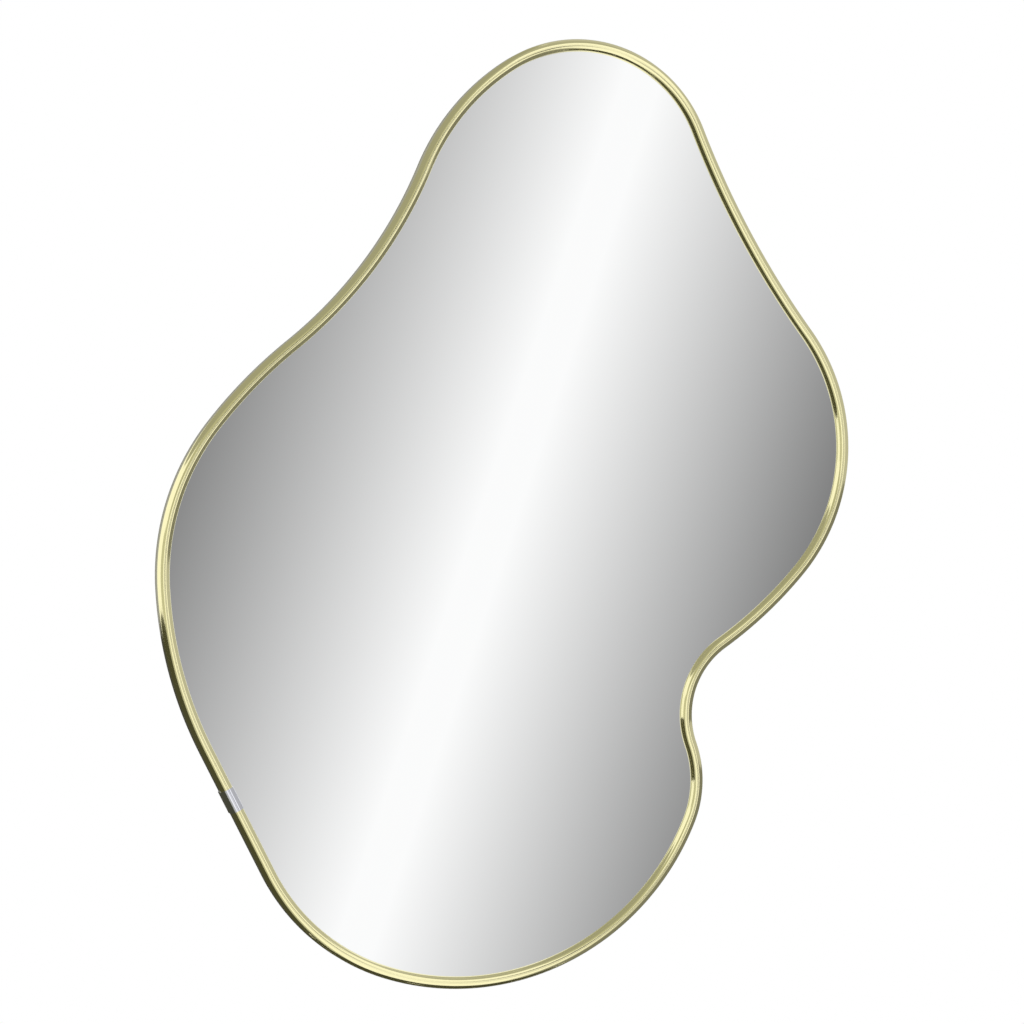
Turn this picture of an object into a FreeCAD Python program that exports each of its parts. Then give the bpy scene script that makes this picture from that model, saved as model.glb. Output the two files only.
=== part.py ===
"""Irregular wall mirror with a bent metal rail, built in its own frame.

The wall is the plane y = 0 and the glass looks along -Y. +X is to the right as the mirror
is seen, +Z is up, and the origin is the middle of the mirror's height and width on the wall.
Millimetres and degrees.
"""
import FreeCAD, Part
import math
import os

import Sketcher

Vector = FreeCAD.Vector
Constraint = Sketcher.Constraint

SIZES = {
    # outline of the rail's outer face: four lobes, by their reach from the middle
    "top_reach": 400, "bottom_reach": 400, "left_reach": 300, "right_reach": 300,
    "top_shift": 61, "bottom_shift": -41, "left_shift": -52, "right_shift": 56,
    "top_radius": 117, "left_radius": 206, "bottom_radius": 219, "right_radius": 167,
    # wider or tighter arcs that carry a lobe on, and the turn at which they take over
    "brow_radius": 200, "brow_turn": 33,
    "shoulder_radius": 420, "shoulder_turn": 38,
    "flank_radius": 340, "flank_turn": 3,
    "heel_radius": 175, "heel_turn": 18.5,
    "toe_radius": 95, "toe_turn": 67.5,
    "elbow_radius": 370, "elbow_turn": 41,
    # hollows between the lobes
    "waist_radius": 380, "notch_radius": 69, "neck_radius": 750,
    # rail: a half-round hollow nose that laps over the glass, a wall and a rear flange
    "face_width": 10.5, "rail_wall": 1.3, "flange_width": 6, "wall_gap": 3,
    # the layers held in the rail
    "glass_thickness": 4, "tape_thickness": 1, "board_thickness": 4, "spring_gap": 1.7,
    "edge_gap": 1.2,
    # joint of the rail's two ends, at a share of the straight run at the lower left
    "joint_share": 0.4, "saw_cut": 0.3,
    "sleeve_length": 20, "sleeve_sheet": 0.6, "sleeve_fit": 0.05, "sleeve_hook": 3,
    "sleeve_lift": 3,
    "key_length": 60, "key_fit": 0.1,
    "grub_radius": 1.5, "grub_length": 3, "grub_spacing": 36, "thread_fit": 0.02,
    # springs under the rear flange
    "spring_length": 26, "spring_width": 8, "spring_strip": 0.5, "spring_play": 0.02,
    # blocks that carry the glass and the board in the bottom of the rail
    "block_length": 30, "block_turn": 13, "block_play": 0.02,
    # foam tape between glass and board
    "tape_width": 20, "tape_margin": 32,
    # hangers on the back of the board
    "hanger_spacing": 240, "hanger_shift": -2, "hanger_height": 150,
    "strap_width": 14, "strap_length": 44, "strap_thickness": 1.2, "strap_corner": 4,
    "ring_wire": 1.5, "ring_fit": 0.08, "ring_bar": 16, "ring_corner": 4, "ring_side": 4,
    "ring_lean": 1.2,
    "screw_radius": 1.5, "screw_length": 4.5, "screw_head_radius": 3.2, "screw_head_height": 1.9,
    "screw_head_bevel": 0.7, "screw_hole_fit": 0.3, "screw_first": 26, "screw_pitch": 12,
    # bumpers that keep the mirror off the wall
    "bumper_radius": 6, "bumper_tip_radius": 5, "bumper_bevel": 0.8, "bumper_inset": 32,
}

# where the springs sit: a lobe and the bearing from its centre, in degrees from +X
SPRING_BEARINGS = [("top", 105), ("top", 40), ("right", 25), ("right", -25),
                   ("bottom", -35), ("bottom", -90), ("left", 181), ("left", 148)]
# where the bumpers sit on the top and the bottom lobe, in the same way
BUMPER_BEARINGS = {"top_left": 150, "top_right": 30, "bottom_left": -138, "bottom_right": -42}
TAPE_COUNT = 5

doc = FreeCAD.newDocument("IrregularMirror")
parts = []


def make_sheet():
    """Put the driving dimensions into the document's spreadsheet."""
    cells = doc.addObject("Spreadsheet::Sheet", "Sizes")
    for row, (name, value) in enumerate(SIZES.items(), 1):
        cells.set("A%d" % row, name)
        cells.set("B%d" % row, str(value))
        cells.setAlias("B%d" % row, name)
    doc.recompute()
    return cells


sheet = make_sheet()


def size(name):
    return float(sheet.get(name))


# depths from the wall to each layer, as expressions on the sheet and as numbers
FLANGE_FRONT = "Sizes.wall_gap + Sizes.rail_wall"
BOARD_BACK = FLANGE_FRONT + " + Sizes.spring_gap"
TAPE_BACK = BOARD_BACK + " + Sizes.board_thickness"
GLASS_BACK = TAPE_BACK + " + Sizes.tape_thickness"
GLASS_FRONT = GLASS_BACK + " + Sizes.glass_thickness"


def depth(expression):
    """The value of a sum of sheet cells."""
    return sum(size(term.strip()[len("Sizes."):]) for term in expression.split("+") if term)


def plane(body, role):
    """One of a body's own origin planes."""
    return next(f for f in body.Origin.OriginFeatures if f.Role == role)


def new_body(name, placement=None):
    body = doc.addObject("PartDesign::Body", name)
    body.Label = name
    if placement is not None:
        body.Placement = placement
    parts.append(body)
    return body


def new_sketch(body, name, role, origin=(0, 0, 0), turn=0.0):
    """An empty sketch on a body's origin plane, moved in that plane's own axes."""
    sketch = body.newObject("Sketcher::SketchObject", name)
    sketch.AttachmentSupport = [(plane(body, role), "")]
    sketch.MapMode = "FlatFace"
    sketch.AttachmentOffset = FreeCAD.Placement(
        Vector(*origin), FreeCAD.Rotation(Vector(0, 0, 1), turn))
    return sketch


def dimension(sketch, name, expression, *definition):
    """Add a dimension to a sketch and bind it to the sheet."""
    index = sketch.addConstraint(Constraint(*definition))
    sketch.renameConstraint(index, name)
    sketch.setExpression("Constraints." + name, expression)
    return index


def join_loop(sketch, count, tangent=()):
    """Join lines and arcs end to end into a loop; the pairs in tangent meet smoothly."""
    for index in range(count):
        following = (index + 1) % count
        kind = "Tangent" if (index, following) in tangent else "Coincident"
        sketch.addConstraint(Constraint(kind, index, 2, following, 1))


# ---------------------------------------------------------------- outline

class Arc:
    """An arc of the outline, walked with the inside on the left.

    The radius is negative where the outline is hollow.
    """

    def __init__(self, name, centre, radius):
        self.name = name
        self.centre = centre
        self.radius = radius


def unit(bearing):
    return Vector(math.cos(math.radians(bearing)), math.sin(math.radians(bearing)), 0)


def carry_on(lobe, name, bearing):
    """An arc of another radius that touches a lobe at a bearing from its centre."""
    radius = size(name + "_radius")
    return Arc(name, lobe.centre + unit(bearing) * (lobe.radius - radius), radius)


def hollow(before, name, after):
    """A hollow arc that touches two arcs from outside."""
    radius = size(name + "_radius")
    first = before.radius + radius
    second = after.radius + radius
    across = after.centre - before.centre
    span = across.Length
    along = (first ** 2 - second ** 2 + span ** 2) / (2 * span)
    out = math.sqrt(first ** 2 - along ** 2)
    direction = across / span
    outward = Vector(direction.y, -direction.x, 0)
    return Arc(name, before.centre + direction * along + outward * out, -radius)


def straight_run(before, after):
    """The two ends of the straight line that touches both arcs on their outer side."""
    across = after.centre - before.centre
    lean = math.acos((before.radius - after.radius) / across.Length)
    bearing = math.degrees(math.atan2(across.y, across.x) - lean)
    return (before.centre + unit(bearing) * before.radius,
            after.centre + unit(bearing) * after.radius)


def touching_point(before, after):
    """Where two arcs that follow each other meet."""
    across = after.centre - before.centre
    inward = across / (after.radius - before.radius)
    return before.centre - inward * before.radius


def make_chain():
    """The outline's arcs and its straight run, from the top lobe round by the left."""
    top = Arc("top", Vector(size("top_shift"), size("top_reach") - size("top_radius")),
              size("top_radius"))
    left = Arc("left", Vector(size("left_radius") - size("left_reach"), size("left_shift")),
               size("left_radius"))
    bottom = Arc("bottom",
                 Vector(size("bottom_shift"), size("bottom_radius") - size("bottom_reach")),
                 size("bottom_radius"))
    right = Arc("right", Vector(size("right_reach") - size("right_radius"), size("right_shift")),
                size("right_radius"))
    brow = carry_on(top, "brow", 90 + size("brow_turn"))
    shoulder = carry_on(left, "shoulder", 180 - size("shoulder_turn"))
    flank = carry_on(left, "flank", 180 + size("flank_turn"))
    heel = carry_on(bottom, "heel", -90 - size("heel_turn"))
    toe = carry_on(bottom, "toe", -90 + size("toe_turn"))
    elbow = carry_on(right, "elbow", -size("elbow_turn"))
    return [top, brow, hollow(brow, "waist", shoulder), shoulder, left, flank,
            straight_run(flank, heel), heel, bottom, toe, hollow(toe, "notch", elbow),
            elbow, right, hollow(right, "neck", top)]


chain = make_chain()
run_index = next(i for i, piece in enumerate(chain) if isinstance(piece, tuple))
run_start, run_end = chain[run_index]
lobes = {piece.name: piece for piece in chain if isinstance(piece, Arc)}


def end_of(index):
    """The point at which piece number index of the outline ends."""
    piece = chain[index]
    following = chain[(index + 1) % len(chain)]
    if isinstance(piece, tuple):
        return piece[1]
    if isinstance(following, tuple):
        return following[0]
    return touching_point(piece, following)


def make_outline():
    """The closed outline of the rail's outer face, as one fully dimensioned sketch."""
    outline = doc.addObject("Sketcher::SketchObject", "Outline")
    ends = [end_of(index) for index in range(len(chain))]
    for index, piece in enumerate(chain):
        start, end = ends[index - 1], ends[index]
        if isinstance(piece, tuple):
            outline.addGeometry(Part.LineSegment(start, end), False)
            continue
        angles = [math.atan2(point.y - piece.centre.y, point.x - piece.centre.x)
                  for point in (start, end)]
        if piece.radius < 0:
            angles.reverse()
        circle = Part.Circle(piece.centre, Vector(0, 0, 1), abs(piece.radius))
        outline.addGeometry(Part.ArcOfCircle(circle, *angles), False)

    def walk_end(index, first):
        """The sketcher's number of the end at which the walk enters or leaves a piece."""
        hollow_arc = isinstance(chain[index], Arc) and chain[index].radius < 0
        return 2 if first == hollow_arc else 1

    for index in range(len(chain)):
        following = (index + 1) % len(chain)
        outline.addConstraint(Constraint("Tangent", index, walk_end(index, False),
                                         following, walk_end(following, True)))
    for index, piece in enumerate(chain):
        if isinstance(piece, Arc):
            dimension(outline, piece.name + "_radius", "Sizes.%s_radius" % piece.name,
                      "Radius", index, abs(piece.radius))
    place_lobes(outline)
    place_turns(outline, ends, walk_end)
    outline.Placement = FreeCAD.Placement(Vector(), FreeCAD.Rotation(Vector(1, 0, 0), 90))
    doc.recompute()
    return outline


def place_lobes(outline):
    """Fix the centres of the four lobes by their reach and shift."""
    for name, cross, reach in (("top", "X", "Y"), ("bottom", "X", "Y"),
                               ("left", "Y", "X"), ("right", "Y", "X")):
        index = chain.index(lobes[name])
        centre = {"X": lobes[name].centre.x, "Y": lobes[name].centre.y}
        towards = "" if name in ("top", "right") else "-"
        dimension(outline, name + "_shift", "Sizes.%s_shift" % name,
                  "Distance" + cross, -1, 1, index, 3, centre[cross])
        dimension(outline, name + "_centre",
                  "%s(Sizes.%s_reach - Sizes.%s_radius)" % (towards, name, name),
                  "Distance" + reach, -1, 1, index, 3, centre[reach])


def place_turns(outline, ends, walk_end):
    """Fix, by a spoke from each lobe, the turn at which the next arc takes over."""
    for name, lobe, is_start, expression in (
            ("brow", "top", False, "90 + Sizes.brow_turn"),
            ("shoulder", "left", True, "180 - Sizes.shoulder_turn"),
            ("flank", "left", False, "180 + Sizes.flank_turn"),
            ("heel", "bottom", True, "270 - Sizes.heel_turn"),
            ("toe", "bottom", False, "270 + Sizes.toe_turn"),
            ("elbow", "right", True, "360 - Sizes.elbow_turn")):
        index = chain.index(lobes[lobe])
        point = ends[index - 1] if is_start else ends[index]
        centre = lobes[lobe].centre
        spoke = outline.addGeometry(Part.LineSegment(centre, point), True)
        outline.addConstraint(Constraint("Coincident", spoke, 1, index, 3))
        outline.addConstraint(Constraint("Coincident", spoke, 2, index,
                                         walk_end(index, is_start)))
        turn = math.atan2(point.y - centre.y, point.x - centre.x) % (2 * math.pi)
        dimension(outline, name + "_turn", "(%s) * 1 deg" % expression, "Angle", spoke, turn)


outline = make_outline()


def rail_frame(point, bearing):
    """A frame on the rail's outer face, in the plane of the wall.

    Its X points into the mirror, Y to the front and Z along the rail; bearing is that of
    the outward normal.
    """
    out = unit(bearing)
    inward = Vector(-out.x, 0, -out.y)
    front = Vector(0, -1, 0)
    along = inward.cross(front)
    matrix = FreeCAD.Matrix(inward.x, front.x, along.x, point.x,
                            inward.y, front.y, along.y, 0,
                            inward.z, front.z, along.z, point.y,
                            0, 0, 0, 1)
    return FreeCAD.Placement(matrix)


def lobe_point(lobe, bearing, inset=0.0):
    return lobes[lobe].centre + unit(bearing) * (lobes[lobe].radius - inset)


run_travel = (run_end - run_start).normalize()
run_bearing = math.degrees(math.atan2(-run_travel.x, run_travel.y))
joint_point = run_start + (run_end - run_start) * size("joint_share")
joint_frame = rail_frame(joint_point, run_bearing)


# ---------------------------------------------------------------- rail

def section_sketch(body, name):
    """A sketch across the rail where the top lobe begins.

    Its X runs inward from the rail's outer face and its Y to the front from the wall.
    """
    start = end_of(len(chain) - 1)
    spoke = start - lobes["top"].centre
    bearing = math.degrees(math.atan2(spoke.y, spoke.x))
    sketch = new_sketch(body, name, "XY_Plane")
    sketch.AttachmentOffset = rail_frame(start, bearing)
    return sketch


def rail_section(body):
    """The rail's section without its chamber."""
    sketch = section_sketch(body, "RailSection")
    face = size("face_width")
    wall = size("rail_wall")
    back = size("wall_gap")
    flange = depth(FLANGE_FRONT)
    lip = depth(GLASS_FRONT)
    tip = size("flange_width")
    points = [Vector(x, y, 0) for x, y in (
        (0, lip), (0, back), (tip, back), (tip, flange), (wall, flange), (wall, lip),
        (face, lip))]
    for start, end in zip(points, points[1:]):
        sketch.addGeometry(Part.LineSegment(start, end), False)
    crest = Vector(face / 2, lip + face / 2, 0)
    sketch.addGeometry(Part.Arc(points[-1], crest, points[0]), False)
    join_loop(sketch, len(points), tangent=((6, 0),))
    for index in (1, 3, 5):
        sketch.addConstraint(Constraint("Horizontal", index))
    for index in (0, 2, 4):
        sketch.addConstraint(Constraint("Vertical", index))
    sketch.addConstraint(Constraint("PointOnObject", 0, 1, -2))
    dimension(sketch, "nose_radius", "Sizes.face_width / 2", "Radius", 6, face / 2)
    dimension(sketch, "nose_depth", GLASS_FRONT, "DistanceY", -1, 1, 6, 3, lip)
    dimension(sketch, "back_depth", "Sizes.wall_gap", "DistanceY", -1, 1, 1, 1, back)
    dimension(sketch, "flange_depth", FLANGE_FRONT, "DistanceY", -1, 1, 3, 1, flange)
    dimension(sketch, "lip_depth", GLASS_FRONT, "DistanceY", -1, 1, 5, 1, lip)
    dimension(sketch, "flange_tip", "Sizes.flange_width", "DistanceX", -1, 1, 2, 1, tip)
    dimension(sketch, "wall_face", "Sizes.rail_wall", "DistanceX", -1, 1, 4, 1, wall)
    return sketch


def nose_section(sketch, name, play):
    """The trapezoid chamber inside the nose, smaller all round by a play.

    Its four corners lie on a round one wall inside the nose.
    """
    less = " - " + play if play else ""
    more = " + " + play if play else ""
    corner_round = "(Sizes.face_width / 2 - Sizes.rail_wall%s)" % less
    base_rise = "(Sizes.rail_wall%s)" % more
    radius = size("face_width") / 2 - size("rail_wall") - depth(play)
    rise = size("rail_wall") + depth(play)
    middle = size("face_width") / 2
    lip = depth(GLASS_FRONT)
    base = math.sqrt(radius ** 2 - rise ** 2)
    roof = unit(60) * radius
    points = [Vector(middle - base, lip + rise, 0), Vector(middle + base, lip + rise, 0),
              Vector(middle + roof.x, lip + roof.y, 0), Vector(middle - roof.x, lip + roof.y, 0)]
    for start, end in zip(points, points[1:] + points[:1]):
        sketch.addGeometry(Part.LineSegment(start, end), False)
    join_loop(sketch, len(points))
    circle = Part.Circle(Vector(middle, lip, 0), Vector(0, 0, 1), radius)
    guide = sketch.addGeometry(circle, True)
    for index in range(4):
        sketch.addConstraint(Constraint("PointOnObject", index, 1, guide))
    sketch.addConstraint(Constraint("Horizontal", 0))
    sketch.addConstraint(Constraint("Horizontal", 2))
    dimension(sketch, name + "_round", corner_round, "Radius", guide, radius)
    dimension(sketch, name + "_middle", "Sizes.face_width / 2",
              "DistanceX", -1, 1, guide, 3, middle)
    dimension(sketch, name + "_depth", GLASS_FRONT, "DistanceY", -1, 1, guide, 3, lip)
    dimension(sketch, name + "_base", base_rise, "DistanceY", guide, 3, 0, 1, rise)
    dimension(sketch, name + "_roof", corner_round, "DistanceX", 2, 2, 2, 1, radius)
    return sketch


def sweep(body, kind, name, section, path):
    """Carry a section round a closed flat path."""
    pipe = body.newObject("PartDesign::" + kind, name)
    pipe.Profile = section
    pipe.Spine = (path, ["Edge%d" % (n + 1) for n in range(len(path.Shape.Edges))])
    return pipe


def carry_round(body, kind, name, section):
    """Carry a section round the outline, square to the wall all the way."""
    path = body.newObject("PartDesign::SubShapeBinder", name + "Path")
    path.Support = [(outline, "")]
    doc.recompute()
    pipe = sweep(body, kind, name, section, path)
    pipe.Mode = "Binormal"
    pipe.Binormal = Vector(0, -1, 0)
    doc.recompute()


def joint_sketch(body, name, inward=0.0):
    """A sketch seen from the front whose origin is the joint and whose Y follows the run."""
    turn = math.degrees(math.atan2(run_travel.y, run_travel.x)) - 90
    into = unit(run_bearing) * -inward
    sketch = new_sketch(body, name, "XZ_Plane",
                        (joint_point.x + into.x, joint_point.y + into.y, 0), turn)
    return sketch


def centred_rectangle(sketch, name, across, along):
    """A rectangle about the sketch's origin, its sizes bound to two expressions."""
    (width_expression, width), (length_expression, length) = across, along
    x, y = width / 2, length / 2
    corners = [Vector(-x, -y, 0), Vector(x, -y, 0), Vector(x, y, 0), Vector(-x, y, 0)]
    first = sketch.GeometryCount
    low, right, high, left = range(first, first + 4)
    for start, end in zip(corners, corners[1:] + corners[:1]):
        sketch.addGeometry(Part.LineSegment(start, end), False)
    for before, after in ((low, right), (right, high), (high, left), (left, low)):
        sketch.addConstraint(Constraint("Coincident", before, 2, after, 1))
    for index in (low, high):
        sketch.addConstraint(Constraint("Horizontal", index))
    for index in (right, left):
        sketch.addConstraint(Constraint("Vertical", index))
    sketch.addConstraint(Constraint("Symmetric", low, 1, right, 2, -1, 1))
    dimension(sketch, name + "_across", width_expression, "DistanceX", low, 1, low, 2, width)
    dimension(sketch, name + "_along", length_expression, "DistanceY", right, 1, right, 2, length)


def trim_to_joint(body, name, length):
    """Take away all of a piece but a given length of it at the joint."""
    window = joint_sketch(body, name + "Window")
    reach = 2 * (size("top_reach") + size("bottom_reach"))
    all_of_it = ("2 * (Sizes.top_reach + Sizes.bottom_reach)", reach)
    centred_rectangle(window, "outer", all_of_it, all_of_it)
    centred_rectangle(window, "kept", ("4 * Sizes.face_width", 4 * size("face_width")),
                      ("Sizes." + length, size(length)))
    trim = body.newObject("PartDesign::Pocket", name)
    trim.Profile = window
    trim.Type = "ThroughAll"
    trim.Midplane = True
    doc.recompute()


def grub_circles(sketch, radius_expression, radius):
    """Two circles on the run, one each side of the joint."""
    half = size("grub_spacing") / 2
    for index, sign in enumerate((-1, 1)):
        circle = Part.Circle(Vector(0, sign * half, 0), Vector(0, 0, 1), radius)
        sketch.addGeometry(circle, False)
        sketch.addConstraint(Constraint("PointOnObject", index, 3, -2))
        dimension(sketch, "radius_%d" % index, radius_expression, "Radius", index, radius)
        dimension(sketch, "place_%d" % index, "%d * Sizes.grub_spacing / 2" % sign,
                  "DistanceY", -1, 1, index, 3, sign * half)


def make_rail():
    """One long extrusion bent to the outline, its two ends meeting at the joint."""
    body = new_body("frame_rail")
    carry_round(body, "AdditivePipe", "Rail", rail_section(body))
    carry_round(body, "SubtractivePipe", "Chamber",
                nose_section(section_sketch(body, "ChamberSection"), "chamber", ""))

    cut = joint_sketch(body, "SawCutSketch")
    centred_rectangle(cut, "cut", ("4 * Sizes.face_width", 4 * size("face_width")),
                      ("Sizes.saw_cut", size("saw_cut")))
    saw = body.newObject("PartDesign::Pocket", "SawCut")
    saw.Profile = cut
    saw.Type = "ThroughAll"
    saw.Midplane = True
    doc.recompute()

    drill = joint_sketch(body, "GrubHoleSketch", size("face_width") / 2)
    drill.setExpression(".AttachmentOffset.Base.z", GLASS_FRONT)
    grub_circles(drill, "Sizes.grub_radius + Sizes.thread_fit",
                 size("grub_radius") + size("thread_fit"))
    holes = body.newObject("PartDesign::Pocket", "GrubHoles")
    holes.Profile = drill
    holes.setExpression("Length", "Sizes.rail_wall")
    holes.Reversed = True
    doc.recompute()
    return body


# ---------------------------------------------------------------- joint pieces

def make_sleeve():
    """A polished steel clip that hugs the rail over the joint, hooked behind it."""
    body = new_body("joint_sleeve")
    sketch = section_sketch(body, "SleeveSection")
    fit, sheet_metal = size("sleeve_fit"), size("sleeve_sheet")
    near = size("face_width") / 2 + fit
    far = near + sheet_metal
    nose = Vector(size("face_width") / 2, depth(GLASS_FRONT), 0)
    back = size("wall_gap") - fit
    hook = size("sleeve_hook")
    end = unit(size("sleeve_lift"))
    left_far, left_near = nose.x - far, nose.x - near
    points = [Vector(left_far, nose.y, 0), Vector(left_far, back - sheet_metal, 0),
              Vector(hook, back - sheet_metal, 0), Vector(hook, back, 0),
              Vector(left_near, back, 0), Vector(left_near, nose.y, 0)]
    for start, stop in zip(points, points[1:]):
        sketch.addGeometry(Part.LineSegment(start, stop), False)
    sketch.addGeometry([
        Part.Arc(nose + end * near, nose + unit(90) * near, points[5]),
        Part.LineSegment(nose + end * near, nose + end * far),
        Part.Arc(nose + end * far, nose + unit(90) * far, points[0])], False)
    for definition in (("Coincident", 0, 2, 1, 1), ("Coincident", 1, 2, 2, 1),
                       ("Coincident", 2, 2, 3, 1), ("Coincident", 3, 2, 4, 1),
                       ("Tangent", 4, 2, 5, 2), ("Coincident", 5, 1, 6, 1),
                       ("Coincident", 6, 2, 7, 1), ("Tangent", 7, 2, 0, 1),
                       ("Horizontal", 1), ("Horizontal", 3), ("Vertical", 0),
                       ("Vertical", 2), ("Vertical", 4), ("Coincident", 5, 3, 7, 3),
                       ("PointOnObject", 5, 3, 6)):
        sketch.addConstraint(Constraint(*definition))
    dimension(sketch, "middle", "Sizes.face_width / 2", "DistanceX", -1, 1, 5, 3, nose.x)
    dimension(sketch, "nose", GLASS_FRONT, "DistanceY", -1, 1, 5, 3, nose.y)
    dimension(sketch, "inner", "Sizes.face_width / 2 + Sizes.sleeve_fit", "Radius", 5, near)
    dimension(sketch, "outer", "Sizes.face_width / 2 + Sizes.sleeve_fit + Sizes.sleeve_sheet",
              "Radius", 7, far)
    dimension(sketch, "lift", "Sizes.sleeve_lift * 1 deg", "Angle", 6,
              math.radians(size("sleeve_lift")))
    dimension(sketch, "back", "Sizes.wall_gap - Sizes.sleeve_fit",
              "DistanceY", -1, 1, 3, 1, back)
    dimension(sketch, "hook", "Sizes.sleeve_hook", "DistanceX", -1, 1, 2, 1, hook)
    dimension(sketch, "sheet", "Sizes.sleeve_sheet", "DistanceY", 2, 1, 2, 2, sheet_metal)
    carry_round(body, "AdditivePipe", "Sleeve", sketch)
    trim_to_joint(body, "SleeveEnds", "sleeve_length")
    return body


def make_key():
    """A steel bar inside the chamber that lines up the rail's two ends."""
    body = new_body("splice_key")
    section = nose_section(section_sketch(body, "KeySection"), "key", "Sizes.key_fit")
    carry_round(body, "AdditivePipe", "Key", section)
    trim_to_joint(body, "KeyEnds", "key_length")

    drill = joint_sketch(body, "ThreadSketch", size("face_width") / 2)
    grub_circles(drill, "Sizes.grub_radius + Sizes.thread_fit",
                 size("grub_radius") + size("thread_fit"))
    threads = body.newObject("PartDesign::Pocket", "Threads")
    threads.Profile = drill
    threads.Type = "ThroughAll"
    threads.Midplane = True
    doc.recompute()
    return body


def group(name, members):
    """Several separate solids of one kind under one name."""
    compound = doc.addObject("Part::Compound", name)
    compound.Label = name
    compound.Links = members
    parts.append(compound)
    return compound


def make_grub_screws():
    """Two grub screws that lock the key in the chamber, flush with the lip's back."""
    screws = []
    for number, sign in enumerate((-1, 1), 1):
        screw = doc.addObject("Part::Cylinder", "GrubScrew%d" % number)
        screw.setExpression("Radius", "Sizes.grub_radius")
        screw.setExpression("Height", "Sizes.grub_length")
        local = FreeCAD.Placement(
            Vector(size("face_width") / 2, depth(GLASS_FRONT), sign * size("grub_spacing") / 2),
            FreeCAD.Rotation(Vector(1, 0, 0), -90))
        screw.Placement = joint_frame.multiply(local)
        screws.append(screw)
    return group("splice_screws", screws)


# ---------------------------------------------------------------- glass, tape and board

def layer(name, back, thickness, outline_face):
    """A flat sheet cut to the outline, clear of the rail's wall by the edge gap."""
    edge = doc.addObject("Part::Offset2D", name + "_edge")
    edge.Source = outline_face
    edge.Mode = "Skin"
    edge.Join = "Arc"
    edge.setExpression("Value", "-(Sizes.rail_wall + Sizes.edge_gap)")
    solid = doc.addObject("Part::Extrusion", name)
    solid.Base = edge
    solid.DirMode = "Custom"
    solid.Dir = Vector(0, -1, 0)
    solid.Solid = True
    solid.setExpression("LengthFwd", thickness)
    solid.setExpression(".Placement.Base.y", "-(%s)" % back)
    doc.recompute()
    return solid


def make_layers():
    """The silvered glass, and the board behind it with the pilot holes of the hangers."""
    outline_face = doc.addObject("Part::Face", "OutlineFace")
    outline_face.Sources = [outline]
    glass = layer("MirrorGlass", GLASS_BACK, "Sizes.glass_thickness", outline_face)
    glass.Label = "mirror_glass"
    parts.append(glass)

    blank = layer("BoardBlank", BOARD_BACK, "Sizes.board_thickness", outline_face)
    pilots = doc.addObject("Part::Compound", "PilotHoles")
    pilots.Links = [screw_shank("Pilot_%s_%d" % place[:2], place, "Sizes.thread_fit")
                    for place in screw_places()]
    board = doc.addObject("Part::Cut", "BackingBoard")
    board.Base = blank
    board.Tool = pilots
    board.Label = "backing_board"
    parts.append(board)
    doc.recompute()


def make_tape():
    """Strips of foam tape that hold the glass to the board."""
    face = Part.Face(Part.Wire(Part.__sortEdges__(outline.Shape.Edges)))
    pitch = (size("left_reach") + size("right_reach")) / (TAPE_COUNT + 1)
    for number in range(1, TAPE_COUNT + 1):
        low, high = chord(face, number * pitch - size("left_reach"))
        strip = doc.addObject("Part::Box", "TapeStrip%d" % number)
        strip.Label = "mounting_tape_%d" % number
        strip.setExpression("Length", "Sizes.tape_width")
        strip.setExpression("Width", "Sizes.tape_thickness")
        strip.Height = high - low - 2 * size("tape_margin")
        strip.setExpression(".Placement.Base.y", "-(%s)" % GLASS_BACK)
        strip.setExpression(".Placement.Base.x",
                            "(Sizes.left_reach + Sizes.right_reach) * %d / %d"
                            " - Sizes.left_reach - Sizes.tape_width / 2"
                            % (number, TAPE_COUNT + 1))
        strip.Placement.Base.z = low + size("tape_margin")
        parts.append(strip)
    doc.recompute()


def chord(face, centre):
    """The lowest and highest z that lie inside the outline over a strip's whole width."""
    reach = size("top_reach") + size("bottom_reach")
    spans = []
    for x in (centre - size("tape_width") / 2, centre + size("tape_width") / 2):
        line = Part.makeLine(Vector(x, 0, -reach), Vector(x, 0, reach))
        box = max(face.common(line).Edges, key=lambda edge: edge.Length).BoundBox
        spans.append((box.ZMin, box.ZMax))
    return max(low for low, _ in spans), min(high for _, high in spans)


# ---------------------------------------------------------------- springs and blocks

def make_springs():
    """Bowed steel strips pushed in under the rear flange, which press the board forward."""
    rise = size("spring_gap") - size("spring_strip") - 2 * size("spring_play")
    half = size("spring_length") / 2
    low = depth(FLANGE_FRONT) + size("spring_play")
    strip = size("spring_strip")
    radius = (half ** 2 + rise ** 2) / (2 * rise)
    turn = math.asin(half / radius)
    centre = Vector(low + radius, 0, 0)

    def on_bow(distance, angle):
        return centre + Vector(-math.cos(angle), math.sin(angle), 0) * distance

    outer, inner = radius, radius - strip
    for number, (lobe, bearing) in enumerate(SPRING_BEARINGS, 1):
        body = new_body("retaining_spring_%d" % number,
                        rail_frame(lobe_point(lobe, bearing), bearing))
        sketch = new_sketch(body, "Bow%d" % number, "YZ_Plane")
        sketch.setExpression(".AttachmentOffset.Base.z", "Sizes.rail_wall + Sizes.edge_gap / 2")
        sketch.addGeometry([
            Part.Arc(on_bow(outer, turn), on_bow(outer, 0), on_bow(outer, -turn)),
            Part.LineSegment(on_bow(outer, -turn), on_bow(inner, -turn)),
            Part.Arc(on_bow(inner, -turn), on_bow(inner, 0), on_bow(inner, turn)),
            Part.LineSegment(on_bow(inner, turn), on_bow(outer, turn))], False)
        pad = body.newObject("PartDesign::Pad", "Spring%d" % number)
        pad.Profile = sketch
        pad.setExpression("Length", "Sizes.spring_width")
        doc.recompute()


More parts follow.
